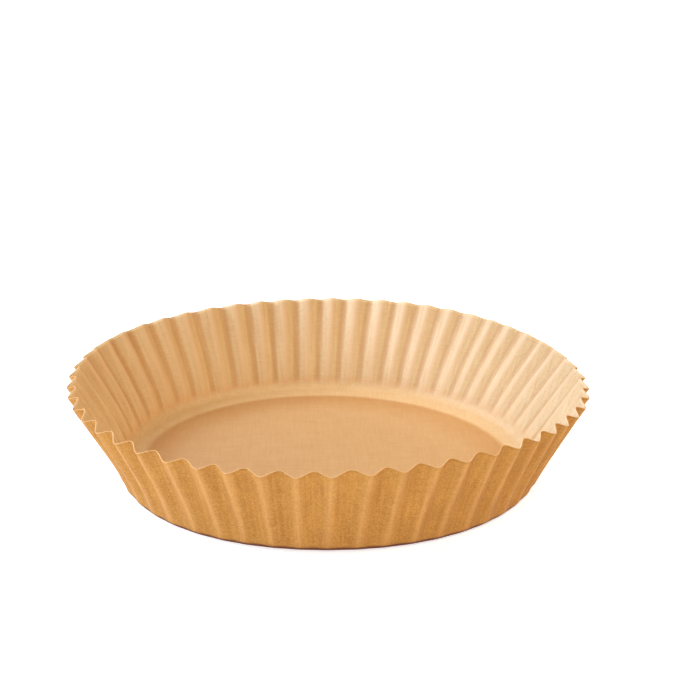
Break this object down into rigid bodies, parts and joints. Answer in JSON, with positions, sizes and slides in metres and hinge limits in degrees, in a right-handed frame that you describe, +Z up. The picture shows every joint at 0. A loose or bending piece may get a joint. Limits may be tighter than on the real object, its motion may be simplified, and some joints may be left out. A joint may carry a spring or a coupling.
{
  "type": "paper baking mold",
  "caption": "Round shallow baking mold pressed from one sheet of unbleached paper, with a flat floor and a flared pleated wall.",
  "frame": {"origin": "middle of the underside of the flat floor, which is what the mold rests on", "axes": "+Z up along the mold's axis, out of its mouth; -Y is the front, on an outward fold; +X is to the right seen from the front"},
  "size_m": [0.1996, 0.2, 0.0373],
  "materials": {
    "paper": "unbleached greaseproof paper, matt, with a fine fibre grain"
  },
  "bodies": {
    "root": {"baking_mold": "paper"}
  },
  "joints": []
}
